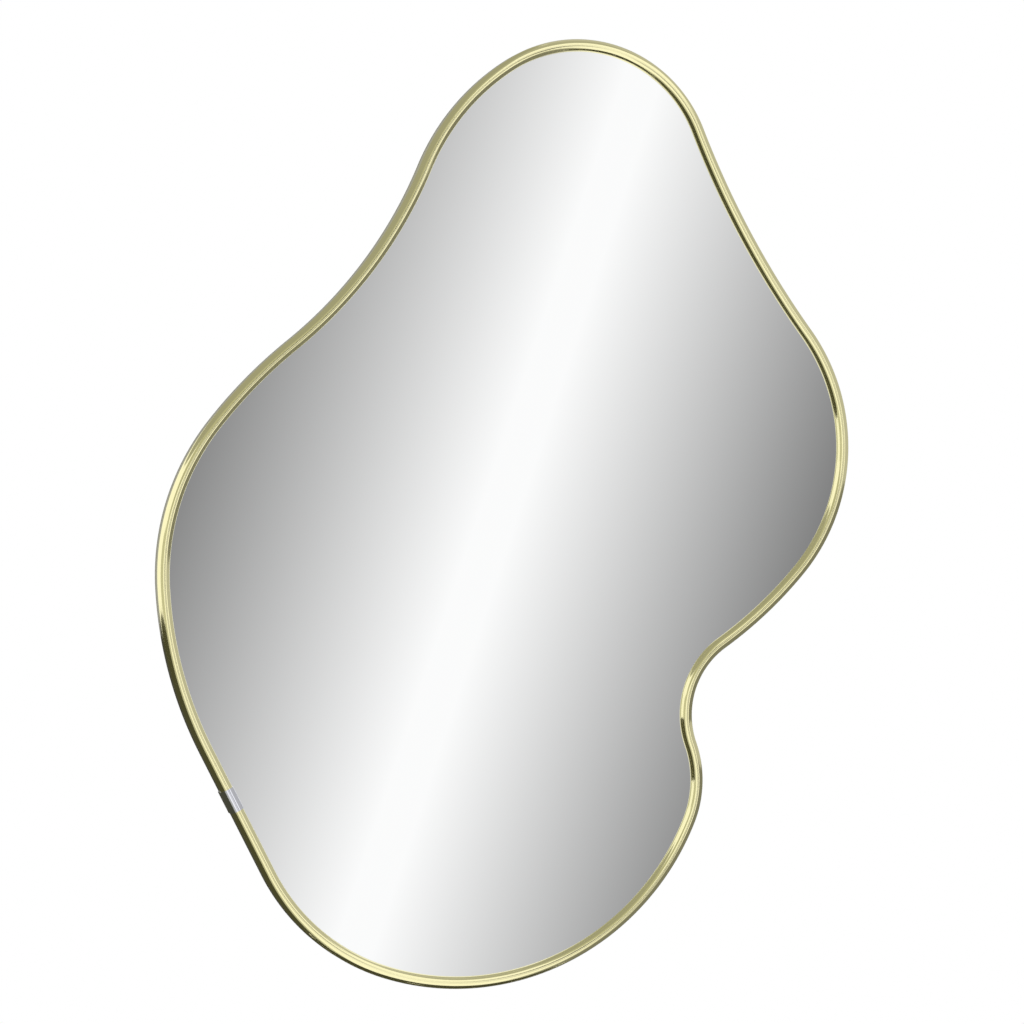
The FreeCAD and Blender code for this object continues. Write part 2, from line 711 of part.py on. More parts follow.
def make_blocks():
    """Two rubber blocks between the rail's wall and the edges of glass and board."""
    outer = size("bottom_radius") - size("rail_wall") - size("block_play")
    inner = outer - size("edge_gap") + 2 * size("block_play")
    half = math.degrees(size("block_length") / 2 / outer)
    centre = lobes["bottom"].centre
    for name, sign in (("setting_block_left", -1), ("setting_block_right", 1)):
        body = new_body(name)
        sketch = new_sketch(body, "Block", "XZ_Plane", (centre.x, centre.y, 0))
        sketch.setExpression(".AttachmentOffset.Base.z", BOARD_BACK)
        bearing = -90 + sign * size("block_turn")
        corners = [unit(bearing - half) * outer, unit(bearing) * outer,
                   unit(bearing + half) * outer, unit(bearing + half) * inner,
                   unit(bearing) * inner, unit(bearing - half) * inner]
        sketch.addGeometry([Part.Arc(*corners[:3]), Part.LineSegment(corners[2], corners[3]),
                            Part.Arc(*corners[3:]), Part.LineSegment(corners[5], corners[0])],
                           False)
        pad = body.newObject("PartDesign::Pad", "BlockPad")
        pad.Profile = sketch
        pad.setExpression("Length", "Sizes.board_thickness + Sizes.tape_thickness"
                                    " + Sizes.glass_thickness")
        doc.recompute()


# ---------------------------------------------------------------- hangers

def hanger_x(side):
    sign = -1 if side == "left" else 1
    return size("hanger_shift") + sign * size("hanger_spacing") / 2


def hanger_axis_height():
    """How far the axis of a ring stands off the board."""
    return size("strap_thickness") + size("ring_wire") + size("ring_fit")


def hanger_frame(side):
    """A frame on the board's back at a ring's axis: X right, Y to the wall, Z up."""
    return FreeCAD.Placement(Vector(hanger_x(side), -depth(BOARD_BACK), size("hanger_height")),
                             FreeCAD.Rotation())


def make_strap(side):
    """A steel strap screwed to the board, its upper end curled round the ring."""
    body = new_body("hanger_strap_" + side, hanger_frame(side))
    sketch = new_sketch(body, "StrapSide", "YZ_Plane")
    inner = size("ring_wire") + size("ring_fit")
    outer = inner + size("strap_thickness")
    thickness = size("strap_thickness")
    centre = Vector(outer, 0, 0)
    curl_end = 58.0  # degrees short of a full turn, where the curl stops above the strap

    def on_curl(distance, angle):
        """A point of the curl; the angle runs from the board over the top and down again."""
        return centre + Vector(-math.cos(math.radians(angle)),
                               math.sin(math.radians(angle)), 0) * distance

    last = 360 - curl_end
    foot = -size("strap_length")
    sketch.addGeometry([
        Part.LineSegment(Vector(0, foot, 0), Vector(0, 0, 0)),
        Part.Arc(Vector(0, 0, 0), on_curl(outer, last / 2), on_curl(outer, last)),
        Part.LineSegment(on_curl(outer, last), on_curl(inner, last)),
        Part.Arc(on_curl(inner, last), on_curl(inner, last / 2), Vector(thickness, 0, 0)),
        Part.LineSegment(Vector(thickness, 0, 0), Vector(thickness, foot, 0)),
        Part.LineSegment(Vector(thickness, foot, 0), Vector(0, foot, 0))], False)
    pad = body.newObject("PartDesign::Pad", "Strap")
    pad.Profile = sketch
    pad.setExpression("Length", "Sizes.strap_width")
    pad.Midplane = True
    doc.recompute()

    drill = new_sketch(body, "StrapHoles", "XZ_Plane")
    radius = size("screw_radius") + size("screw_hole_fit")
    for index in range(2):
        place = -size("screw_first") - index * size("screw_pitch")
        drill.addGeometry(Part.Circle(Vector(0, place, 0), Vector(0, 0, 1), radius), False)
        drill.addConstraint(Constraint("PointOnObject", index, 3, -2))
        dimension(drill, "radius_%d" % index, "Sizes.screw_radius + Sizes.screw_hole_fit",
                  "Radius", index, radius)
        dimension(drill, "place_%d" % index,
                  "-Sizes.screw_first - %d * Sizes.screw_pitch" % index,
                  "DistanceY", -1, 1, index, 3, place)
    holes = body.newObject("PartDesign::Pocket", "ScrewHoles")
    holes.Profile = drill
    holes.Type = "ThroughAll"
    holes.Midplane = True
    doc.recompute()

    corners = body.newObject("PartDesign::Fillet", "FootCorners")
    corners.Base = (holes, foot_edges(holes.Shape))
    corners.setExpression("Radius", "Sizes.strap_corner")
    doc.recompute()
    return body


def foot_edges(shape):
    """The two short upright edges at the strap's lower end."""
    names = []
    for index, edge in enumerate(shape.Edges, 1):
        box = edge.BoundBox
        at_foot = box.ZMax < -size("strap_length") + size("strap_corner") / 2
        if at_foot and box.XLength < 0.01 and box.ZLength < 0.01:
            names.append("Edge%d" % index)
    return names


def make_ring(side):
    """A steel wire ring, hanging from the strap's curl, that takes the wall hook."""
    axis = hanger_frame(side)
    axis.Base.y += hanger_axis_height()
    lean = FreeCAD.Placement(Vector(), FreeCAD.Rotation(Vector(1, 0, 0), size("ring_lean")))
    body = new_body("hanger_ring_" + side, axis.multiply(lean))
    path = new_sketch(body, "RingPath", "XZ_Plane")
    half = size("ring_bar") / 2
    corner = size("ring_corner")
    wide = half + corner
    side_end = -corner - size("ring_side")
    slant = corner * math.sqrt(0.5)
    path.addGeometry([
        Part.LineSegment(Vector(half, 0, 0), Vector(-half, 0, 0)),
        Part.Arc(Vector(-half, 0, 0), Vector(-half - slant, slant - corner, 0),
                 Vector(-wide, -corner, 0)),
        Part.LineSegment(Vector(-wide, -corner, 0), Vector(-wide, side_end, 0)),
        Part.Arc(Vector(-wide, side_end, 0), Vector(0, side_end - wide, 0),
                 Vector(wide, side_end, 0)),
        Part.LineSegment(Vector(wide, side_end, 0), Vector(wide, -corner, 0)),
        Part.Arc(Vector(wide, -corner, 0), Vector(half + slant, slant - corner, 0),
                 Vector(half, 0, 0))], False)
    join_loop(path, 6, tangent=[(0, 1), (1, 2), (2, 3), (3, 4), (4, 5), (5, 0)])
    path.addConstraint(Constraint("Symmetric", 0, 1, 0, 2, -1, 1))
    path.addConstraint(Constraint("Vertical", 2))
    dimension(path, "top_bar", "-Sizes.ring_bar", "DistanceX", 0, 1, 0, 2, -2 * half)
    dimension(path, "corner_left", "Sizes.ring_corner", "Radius", 1, corner)
    dimension(path, "corner_right", "Sizes.ring_corner", "Radius", 5, corner)
    dimension(path, "side_leg", "-Sizes.ring_side", "DistanceY", 2, 1, 2, 2, -size("ring_side"))
    wire = new_sketch(body, "RingWire", "YZ_Plane")
    wire.setExpression(".AttachmentOffset.Base.z", "Sizes.ring_bar / 2")
    eight_flats(wire)
    doc.recompute()
    sweep(body, "AdditivePipe", "Ring", wire, path)
    doc.recompute()
    return body


def bevel_wall_side(turned, width):
    """Bevel the edge of a turned piece that lies nearest the wall."""
    doc.recompute()
    edges = turned.Shape.Edges
    nearest = max(range(len(edges)), key=lambda index: edges[index].BoundBox.YMin)
    bevelled = doc.addObject("Part::Chamfer", turned.Name + "_bevelled")
    bevelled.Base = turned
    bevelled.Edges = [(nearest + 1, size(width), size(width))]
    return bevelled


def eight_flats(sketch):
    """The ring wire's section: an octagon inside the wire's round."""
    corners = [unit(45 * index) * size("ring_wire") for index in range(8)]
    for start, end in zip(corners, corners[1:] + corners[:1]):
        sketch.addGeometry(Part.LineSegment(start, end), False)
    join_loop(sketch, 8)
    circle = Part.Circle(Vector(0, 0, 0), Vector(0, 0, 1), size("ring_wire"))
    wire_round = sketch.addGeometry(circle, True)
    sketch.addConstraint(Constraint("Coincident", wire_round, 3, -1, 1))
    for index in range(8):
        sketch.addConstraint(Constraint("PointOnObject", index, 1, wire_round))
    for index in range(1, 8):
        sketch.addConstraint(Constraint("Equal", 0, index))
    sketch.addConstraint(Constraint("PointOnObject", 0, 1, -1))
    dimension(sketch, "radius", "Sizes.ring_wire", "Radius", wire_round, size("ring_wire"))


def screw_places():
    """Side, number and height of each hanger screw."""
    return [(side, number, size("hanger_height") - size("screw_first")
             - (number - 1) * size("screw_pitch"))
            for side in ("left", "right") for number in (1, 2)]


def screw_shank(name, place, extra=None):
    """The shank of a hanger screw, from the strap's outer face into the board."""
    side, _, height = place
    shank = doc.addObject("Part::Cylinder", name)
    shank.setExpression("Radius", "Sizes.screw_radius" + (" + " + extra if extra else ""))
    shank.setExpression("Height", "Sizes.screw_length")
    shank.Placement = FreeCAD.Placement(
        Vector(hanger_x(side), size("strap_thickness") - depth(BOARD_BACK), height),
        FreeCAD.Rotation(Vector(1, 0, 0), 90))
    return shank


def make_screws():
    """Two pan-head screws through each strap."""
    screws = []
    for place in screw_places():
        name = "Screw_%s_%d" % place[:2]
        shank = screw_shank(name + "_shank", place)
        head = doc.addObject("Part::Cylinder", name + "_head")
        head.setExpression("Radius", "Sizes.screw_head_radius")
        head.setExpression("Height", "Sizes.screw_head_height")
        head.Placement = FreeCAD.Placement(shank.Placement.Base,
                                           FreeCAD.Rotation(Vector(1, 0, 0), -90))
        screw = doc.addObject("Part::Fuse", name)
        screw.Base = bevel_wall_side(head, "screw_head_bevel")
        screw.Tool = shank
        screws.append(screw)
    return group("hanger_screws", screws)


# ---------------------------------------------------------------- bumpers

def make_bumpers():
    """Rubber feet stuck to the board, on which the mirror rests against the wall."""
    bumpers = []
    for place, bearing in BUMPER_BEARINGS.items():
        point = lobe_point(place.split("_")[0], bearing, size("bumper_inset"))
        cone = doc.addObject("Part::Cone", "Bumper_" + place)
        cone.setExpression("Radius1", "Sizes.bumper_radius")
        cone.setExpression("Radius2", "Sizes.bumper_tip_radius")
        cone.setExpression("Height", BOARD_BACK)
        cone.Placement = FreeCAD.Placement(Vector(point.x, -depth(BOARD_BACK), point.y),
                                           FreeCAD.Rotation(Vector(1, 0, 0), -90))
        bumpers.append(bevel_wall_side(cone, "bumper_bevel"))
    return group("wall_bumpers", bumpers)


# ---------------------------------------------------------------- build and write

def check_and_write():
    """Stop if anything failed to build, then write one file per piece."""
    doc.recompute()
    for thing in doc.Objects:
        if {"Invalid", "Error"} & set(thing.State):
            raise RuntimeError("%s failed: %s" % (thing.Label, thing.getStatusString()))
    os.makedirs("parts", exist_ok=True)
    for part in parts:
        shape = part.Shape
        if shape.isNull() or not shape.isValid() or not shape.Solids:
            raise RuntimeError("%s has no valid solid" % part.Label)
        print("%-28s %2d solid(s) %12.2f mm3" % (part.Label, len(shape.Solids), shape.Volume))
        shape.exportStep("parts/%s.step" % part.Label)


make_rail()
make_sleeve()
make_key()
make_grub_screws()
make_layers()
make_tape()
make_springs()
make_blocks()
for hanger_side in ("left", "right"):
    make_strap(hanger_side)
    make_ring(hanger_side)
make_screws()
make_bumpers()
check_and_write()
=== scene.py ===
"""The looks of the irregular wall mirror, in the order in which it is put together."""
import math

import bmesh
import bpy
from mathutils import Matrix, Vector


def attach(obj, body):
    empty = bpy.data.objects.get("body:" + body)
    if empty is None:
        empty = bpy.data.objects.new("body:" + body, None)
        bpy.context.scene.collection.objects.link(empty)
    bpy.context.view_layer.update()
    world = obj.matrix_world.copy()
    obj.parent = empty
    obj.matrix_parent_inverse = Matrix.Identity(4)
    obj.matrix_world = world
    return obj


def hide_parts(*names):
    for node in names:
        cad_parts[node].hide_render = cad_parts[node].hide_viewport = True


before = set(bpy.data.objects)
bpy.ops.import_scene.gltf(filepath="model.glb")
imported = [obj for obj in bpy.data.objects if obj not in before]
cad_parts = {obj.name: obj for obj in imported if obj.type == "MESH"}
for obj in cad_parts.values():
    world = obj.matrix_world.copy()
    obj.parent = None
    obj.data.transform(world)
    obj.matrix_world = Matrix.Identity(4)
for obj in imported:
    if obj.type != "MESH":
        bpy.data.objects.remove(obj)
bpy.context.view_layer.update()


# ---- Rail -----------------------------------------------------------------------------
# One aluminium extrusion, polished and anodised gold, bent round the whole outline. Its
# nose is half round, a lip under it holds the glass, and its wall ends in a rear flange.
# Its two ends meet in a butt joint on the straight run at the lower left.

mm = 0.001
to_front = Vector((0, -1, 0))
same_point = 0.001 * mm
bend_step = 4 * mm

# the outline's reach from the middle, and the radii of its four lobes
reach_up_and_down = 400 * mm
reach_to_sides = 300 * mm
top_radius = 117 * mm
left_radius = 206 * mm
bottom_radius = 219 * mm
right_radius = 167 * mm
joint_share = 0.4


class Bend:
    """One bend of the outline. The radius is negative where the outline is hollow."""

    def __init__(self, x, z, radius):
        self.centre = Vector((x, 0, z))
        self.radius = radius


def bearing(degrees):
    """A direction seen from the front, counted from the right over the top."""
    angle = math.radians(degrees)
    return Vector((math.cos(angle), 0, math.sin(angle)))


def carry_on(lobe, degrees, radius):
    """A bend of another radius that touches a lobe at a bearing from its centre."""
    centre = lobe.centre + bearing(degrees) * (lobe.radius - radius)
    return Bend(centre.x, centre.z, radius)


def hollow_between(before, after, radius):
    """A hollow that touches two bends from outside."""
    first = before.radius + radius
    second = after.radius + radius
    across = after.centre - before.centre
    span = across.length
    along = (first ** 2 - second ** 2 + span ** 2) / (2 * span)
    out = math.sqrt(first ** 2 - along ** 2)
    direction = across / span
    outward = Vector((direction.z, 0, -direction.x))
    centre = before.centre + direction * along + outward * out
    return Bend(centre.x, centre.z, -radius)


top = Bend(61 * mm, reach_up_and_down - top_radius, top_radius)
left = Bend(left_radius - reach_to_sides, -52 * mm, left_radius)
bottom = Bend(-41 * mm, bottom_radius - reach_up_and_down, bottom_radius)
right = Bend(reach_to_sides - right_radius, 56 * mm, right_radius)
brow = carry_on(top, 90 + 33, 200 * mm)
shoulder = carry_on(left, 180 - 38, 420 * mm)
flank = carry_on(left, 180 + 3, 340 * mm)
heel = carry_on(bottom, 270 - 18.5, 175 * mm)
toe = carry_on(bottom, 270 + 67.5, 95 * mm)
elbow = carry_on(right, -41, 370 * mm)
waist = hollow_between(brow, shoulder, 380 * mm)
notch = hollow_between(toe, elbow, 69 * mm)
neck = hollow_between(right, top, 750 * mm)

# the straight run touches the flank and the heel on their outer side
run_across = heel.centre - flank.centre
run_lean = math.acos((flank.radius - heel.radius) / run_across.length)
run_out = bearing(math.degrees(math.atan2(run_across.z, run_across.x) - run_lean))
run_start = flank.centre + run_out * flank.radius
run_end = heel.centre + run_out * heel.radius
run_travel = (run_end - run_start).normalized()
joint = run_start + (run_end - run_start) * joint_share
saw_cut = 0.3 * mm

bends = [heel, bottom, toe, notch, elbow, right, neck, top, brow, waist, shoulder, left, flank]


def meeting_point(before, after):
    """Where two bends that follow each other touch."""
    across = after.centre - before.centre
    return before.centre - across / (after.radius - before.radius) * before.radius


def turn_of(bend, start, end):
    """The angle of a bend about the axis to the front, from one point to another."""
    first = start - bend.centre
    last = end - bend.centre
    angle = math.atan2(last.z, last.x) - math.atan2(first.z, first.x)
    if bend.radius < 0:
        return -(-angle % (2 * math.pi))
    return angle % (2 * math.pi)


def carry_round(bm, piece):
    """Take a section from the joint once round the outline, back to the joint."""
    points = [run_end] + [meeting_point(a, b) for a, b in zip(bends, bends[1:])] + [run_start]
    piece = push(bm, piece, run_end - joint - run_travel * saw_cut / 2)
    for bend, start, end in zip(bends, points, points[1:]):
        angle = turn_of(bend, start, end)
        steps = math.ceil(abs(angle * bend.radius) / bend_step)
        spun = bmesh.ops.spin(bm, geom=piece, cent=bend.centre, axis=to_front,
                              angle=angle, steps=steps, use_merge=False)
        piece = spun["geom_last"]
    push(bm, piece, joint - run_start - run_travel * saw_cut / 2)


def push(bm, piece, travel):
    """Extrude a section's edges straight on."""
    edges = [part for part in piece if isinstance(part, bmesh.types.BMEdge)]
    if not edges:
        made = bmesh.ops.extrude_vert_indiv(bm, verts=piece)
    else:
        made = bmesh.ops.extrude_edge_only(bm, edges=edges)
    parts = made.get("geom", made.get("verts", []))
    verts = [part for part in parts if isinstance(part, bmesh.types.BMVert)]
    bmesh.ops.translate(bm, vec=travel, verts=verts)
    if not edges:
        return verts
    ends = set(verts)
    return verts + [part for part in parts if isinstance(part, bmesh.types.BMEdge)
                    and set(part.verts) <= ends]


def at_joint(inward, forward, start=Vector((0, 0, 0))):
    """A point of a section at the joint: inward from the outer face, forward from the wall."""
    return joint - run_out * inward + to_front * forward + start


def section(bm, corners, rounds, start):
    """The edges and corners of a section at the joint, with some corners rounded."""
    verts = [bm.verts.new(at_joint(inward, forward, start)) for inward, forward in corners]
    bm.faces.new(verts)
    for index, radius, segments in rounds:
        bmesh.ops.bevel(bm, geom=[verts[index]], offset=radius, offset_type="OFFSET",
                        affect="VERTICES", segments=segments, profile=0.5, material=-1)
    bmesh.ops.remove_doubles(bm, verts=bm.verts[:], dist=same_point)
    face = bm.faces[:][0]
    edges = list(face.edges)
    bmesh.ops.delete(bm, geom=[face], context="FACES_ONLY")
    return edges + list({vert for edge in edges for vert in edge.verts})


def finish_mesh(bm, name, material, body="mirror", sharp=32):
    """Turn a bmesh into a shaded object on a body."""
    bmesh.ops.recalc_face_normals(bm, faces=bm.faces[:])
    for face in bm.faces:
        face.smooth = True
    for edge in bm.edges:
        if len(edge.link_faces) == 2 and edge.calc_face_angle() > math.radians(sharp):
            edge.smooth = False
    mesh = bpy.data.meshes.new(name)
    bm.to_mesh(mesh)
    bm.free()
    made = bpy.data.objects.new(name, mesh)
    bpy.context.scene.collection.objects.link(made)
    mesh.materials.append(material)
    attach(made, body)
    return made


class Value:
    """A value that varies over a surface. Sums written with it become Math nodes."""

    def __init__(self, finish, socket):
        self.finish = finish
        self.socket = socket

    def sum(self, operation, *terms):
        return self.finish.node("ShaderNodeMath", {"operation": operation},
                                dict(enumerate(terms)))

    def __add__(self, other):
        return self.sum("ADD", self, other)

    __radd__ = __add__

    def __sub__(self, other):
        return self.sum("SUBTRACT", self, other)

    def __rsub__(self, other):
        return self.sum("SUBTRACT", other, self)

    def __mul__(self, other):
        return self.sum("MULTIPLY", self, other)

    __rmul__ = __mul__

    def __pow__(self, other):
        return self.sum("POWER", self, other)

    def __abs__(self):
        return self.sum("ABSOLUTE", self)

    def at_least(self, other):
        return self.sum("MAXIMUM", self, other)


class Finish:
    """A material or a light, built node by node."""

    def __init__(self, tree):
        self.tree = tree

    def node(self, kind, settings, inputs, output=0):
        """Add a node: its type, its settings and the values or links of its sockets."""
        made = self.tree.nodes.new(kind)
        for name, value in settings.items():
            setattr(made, name, value)
        for name, value in inputs.items():
            self.feed(made.inputs[name], value)
        return Value(self, made.outputs[output])

    def feed(self, socket, value):
        if isinstance(value, Value):
            self.tree.links.new(value.socket, socket)
        else:
            socket.default_value = value

    def place(self):
        return self.node("ShaderNodeTexCoord", {}, {}, "Object")

    def noise(self, scale, detail=2.0, roughness=0.5, vector=None):
        return self.node("ShaderNodeTexNoise", {},
                         {"Vector": vector or self.place(), "Scale": scale,
                          "Detail": detail, "Roughness": roughness})

    def stretched(self, x, y, z):
        """Object coordinates, stretched to draw a pattern out along an axis."""
        return self.node("ShaderNodeMapping", {}, {"Vector": self.place(), "Scale": (x, y, z)})

    def blend(self, share, first, second):
        return self.node("ShaderNodeMix", {"data_type": "RGBA"},
                         {0: share, 6: first, 7: second}, 2)

    def bump(self, height, strength, distance):
        return self.node("ShaderNodeBump", {},
                         {"Height": height, "Strength": strength, "Distance": distance})


def new_material(name, **sockets):
    """A material on a Principled surface, and its Finish."""
    material = bpy.data.materials.new(name)
    material.use_nodes = True
    finish = Finish(material.node_tree)
    surface(finish, **sockets)
    return material, finish


def surface(finish, **sockets):
    """Set or link sockets of the Principled surface, named with underscores for spaces."""
    shader = finish.tree.nodes["Principled BSDF"]
    for name, value in sockets.items():
        finish.feed(shader.inputs[name.replace("_", " ")], value)


wall_gap = 3 * mm
face_width = 10.5 * mm
rail_wall = 1.3 * mm
flange_width = 6 * mm
flange_front = wall_gap + rail_wall
glass_front = 15 * mm
nose_front = glass_front + face_width / 2
arris = 0.25 * mm

gold, gold_finish = new_material("polished gold anodising", Metallic=1.0)
die_lines = gold_finish.noise(90.0, 3.0)
haze = gold_finish.noise(14.0, 2.0)
surface(gold_finish,
        Base_Color=gold_finish.blend(haze, (1.0, 0.935, 0.525, 1), (1.0, 0.950, 0.575, 1)),
        Roughness=0.08 + 0.04 * haze,
        Normal=gold_finish.bump(die_lines, 0.015, 0.00002))

rail = bmesh.new()
rail_start = run_travel * saw_cut / 2
rail_corners = [(0, nose_front), (0, wall_gap), (flange_width, wall_gap),
                (flange_width, flange_front), (rail_wall, flange_front),
                (rail_wall, glass_front), (face_width, glass_front), (face_width, nose_front)]
nose_round = face_width / 2
nose_segments = 14
arris_segments = 3
rail_rounds = [(7, nose_round, nose_segments), (0, nose_round, nose_segments),
               (1, arris, arris_segments), (2, arris, arris_segments)]
carry_round(rail, section(rail, rail_corners, rail_rounds, rail_start))
bmesh.ops.holes_fill(rail, edges=[edge for edge in rail.edges if edge.is_boundary], sides=0)
rail_object = finish_mesh(rail, "gold_rail", gold)
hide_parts("frame_rail")


# ---- Joint pieces ---------------------------------------------------------------------
# A steel key inside the nose lines up the rail's two ends, two grub screws lock it, and a
# clip of polished steel sheet hugs the rail over the joint.

def dress(names, material):
    """Give nodes of the frame a finish of their own."""
    for name in names:
        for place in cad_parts[name].material_slots:
            place.link = "OBJECT"
            place.material = material


polished, polished_finish = new_material("polished steel", Metallic=1.0)
rubbing = polished_finish.noise(1.0, 3.0, 0.6, polished_finish.stretched(900, 900, 40))
surface(polished_finish,
        Base_Color=polished_finish.blend(rubbing, (0.80, 0.81, 0.88, 1), (0.88, 0.89, 0.95, 1)),
        Roughness=0.06 + 0.05 * rubbing)
dress(["joint_sleeve"], polished)

bar_steel, bar_finish = new_material("drawn bar steel", Metallic=1.0)
drawing = bar_finish.noise(1.0, 4.0, 0.6, bar_finish.stretched(2500, 2500, 60))
surface(bar_finish,
        Base_Color=bar_finish.blend(drawing, (0.42, 0.42, 0.43, 1), (0.58, 0.58, 0.60, 1)),
        Roughness=0.30 + 0.16 * drawing,
        Normal=bar_finish.bump(drawing, 0.2, 0.00005))
dress(["splice_key", "splice_screws"], bar_steel)


# ---- Mirror glass ---------------------------------------------------------------------
# A sheet of 4 mm float glass, silvered, cut to the outline. Its edge is ground and green,
# and grey paint guards the silver at the back.

glass_back = 11 * mm
edge_gap = 1.2 * mm
glass_merge = 0.4 * mm

silver, silver_finish = new_material("silvered glass", Metallic=1.0, Roughness=0.0)
ripple = silver_finish.noise(5.0, 1.0)
surface(silver_finish,
        Base_Color=silver_finish.blend(ripple, (0.960, 0.965, 0.965, 1), (0.965, 0.969, 0.969, 1)))

ground_edge, edge_finish = new_material("ground glass edge")
grinding = edge_finish.noise(2200.0, 3.0)
surface(edge_finish,
        Base_Color=edge_finish.blend(grinding, (0.28, 0.45, 0.38, 1), (0.50, 0.66, 0.60, 1)),
        Roughness=0.35 + 0.25 * grinding)

guard_paint, paint_finish = new_material("grey guard paint")
curtain = paint_finish.noise(1.0, 3.0, 0.5, paint_finish.stretched(30, 30, 4))
surface(paint_finish,
        Base_Color=paint_finish.blend(curtain, (0.17, 0.18, 0.19, 1), (0.23, 0.24, 0.25, 1)),
        Roughness=0.45 + 0.15 * curtain)

glass = bmesh.new()
glass_corner = glass.verts.new(at_joint(rail_wall + edge_gap, glass_back))
carry_round(glass, [glass_corner])
bmesh.ops.remove_doubles(glass, verts=glass.verts[:], dist=glass_merge)
sheet = bmesh.ops.contextual_create(glass, geom=glass.edges[:])["faces"]
raised = bmesh.ops.extrude_face_region(glass, geom=sheet)["geom"]
bmesh.ops.translate(glass, vec=to_front * (glass_front - glass_back),
                    verts=[part for part in raised if isinstance(part, bmesh.types.BMVert)])
glass.normal_update()
for face in glass.faces:
    if abs(face.normal.y) < 0.5:
        face.material_index = 1
    elif face.calc_center_median().y > -(glass_front + glass_back) / 2:
        face.material_index = 2
glass_object = finish_mesh(glass, "glass_sheet", silver)
glass_object.data.materials.append(ground_edge)
glass_object.data.materials.append(guard_paint)
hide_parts("mirror_glass")


# ---- Tape and backing board -----------------------------------------------------------
# Strips of white foam tape hold the glass to a sheet of 4 mm hardboard of the same outline.

foam, foam_finish = new_material("white foam")
cells = foam_finish.node("ShaderNodeTexVoronoi", {}, {"Vector": foam_finish.place(),
                                                      "Scale": 2400.0})
surface(foam_finish,
        Base_Color=foam_finish.blend(cells, (0.86, 0.86, 0.83, 1), (0.66, 0.66, 0.63, 1)),
        Roughness=0.9, Normal=foam_finish.bump(cells, 0.4, 0.0001))
dress(["mounting_tape_%d" % number for number in range(1, 6)], foam)

board, board_finish = new_material("brown hardboard")
pulp = board_finish.noise(180.0, 6.0, 0.7)
fibres = board_finish.noise(1.0, 4.0, 0.65, board_finish.stretched(1400, 1400, 220))
clouds = board_finish.noise(9.0, 3.0)
brown = board_finish.blend(pulp, (0.19, 0.105, 0.055, 1), (0.31, 0.190, 0.105, 1))
surface(board_finish,
        Base_Color=board_finish.blend(0.55 * fibres * clouds, brown, (0.46, 0.32, 0.20, 1)),
        Roughness=0.62 + 0.25 * pulp,
        Normal=board_finish.bump(pulp + fibres, 0.35, 0.0001))
dress(["backing_board"], board)


# ---- Springs and setting blocks -------------------------------------------------------
# Bowed strips of blued spring steel press the board forward from under the flange, and two
# rubber blocks carry the edges of glass and board in the bottom of the rail.

spring_steel, spring_finish = new_material("blued spring steel", Metallic=1.0)
temper = spring_finish.noise(160.0, 3.0)
surface(spring_finish,
        Base_Color=spring_finish.blend(temper, (0.16, 0.18, 0.26, 1), (0.34, 0.34, 0.38, 1)),
        Roughness=0.28 + 0.20 * temper)
dress(["retaining_spring_%d" % number for number in range(1, 9)], spring_steel)

rubber, rubber_finish = new_material("black rubber")
bloom = rubber_finish.noise(260.0, 4.0)
surface(rubber_finish,
        Base_Color=rubber_finish.blend(bloom, (0.018, 0.018, 0.018, 1), (0.055, 0.055, 0.054, 1)),
        Roughness=0.60 + 0.25 * bloom,
        Normal=rubber_finish.bump(bloom, 0.25, 0.0001))
dress(["setting_block_left", "setting_block_right", "wall_bumpers"], rubber)


# ---- Hangers --------------------------------------------------------------------------
# A zinc plated strap is screwed to the board at each side, and its curled end holds a wire
# ring. The rings hang down at rest and swing up to take the wall hooks.

zinc, zinc_finish = new_material("zinc plate", Metallic=1.0)
spangle = zinc_finish.node("ShaderNodeTexVoronoi", {"feature": "SMOOTH_F1"},
                           {"Vector": zinc_finish.place(), "Scale": 520.0})
passivate = zinc_finish.noise(120.0, 3.0)
surface(zinc_finish,
        Base_Color=zinc_finish.blend(passivate, (0.60, 0.62, 0.66, 1), (0.80, 0.80, 0.78, 1)),
        Roughness=0.26 + 0.16 * spangle + 0.08 * passivate)
dress(["hanger_strap_left", "hanger_strap_right"], zinc)

board_back = 6 * mm
strap_thickness = 1.2 * mm
ring_wire = 1.5 * mm
ring_fit = 0.08 * mm
ring_half_bar = 8 * mm
ring_corner = 4 * mm
ring_leg = 4 * mm
ring_lean = math.radians(1.2)
hanger_height = 150 * mm
hanger_places = {"left": -122 * mm, "right": 118 * mm}
across_wall = Vector((1, 0, 0))
ring_normal = Vector((0, -math.cos(ring_lean), -math.sin(ring_lean)))
ring_down = Vector((0, math.sin(ring_lean), -math.cos(ring_lean)))
ring_depth = board_back - strap_thickness - ring_wire - ring_fit
wire_sides = 20
wire_step = 9


def bend_wire(bm, piece, centre, degrees):
    """Carry the wire's round on about a centre in the ring's plane."""
    steps = math.ceil(abs(degrees) / wire_step)
    spun = bmesh.ops.spin(bm, geom=piece, cent=centre, axis=ring_normal,
                          angle=math.radians(degrees), steps=steps, use_merge=False)
    return spun["geom_last"]


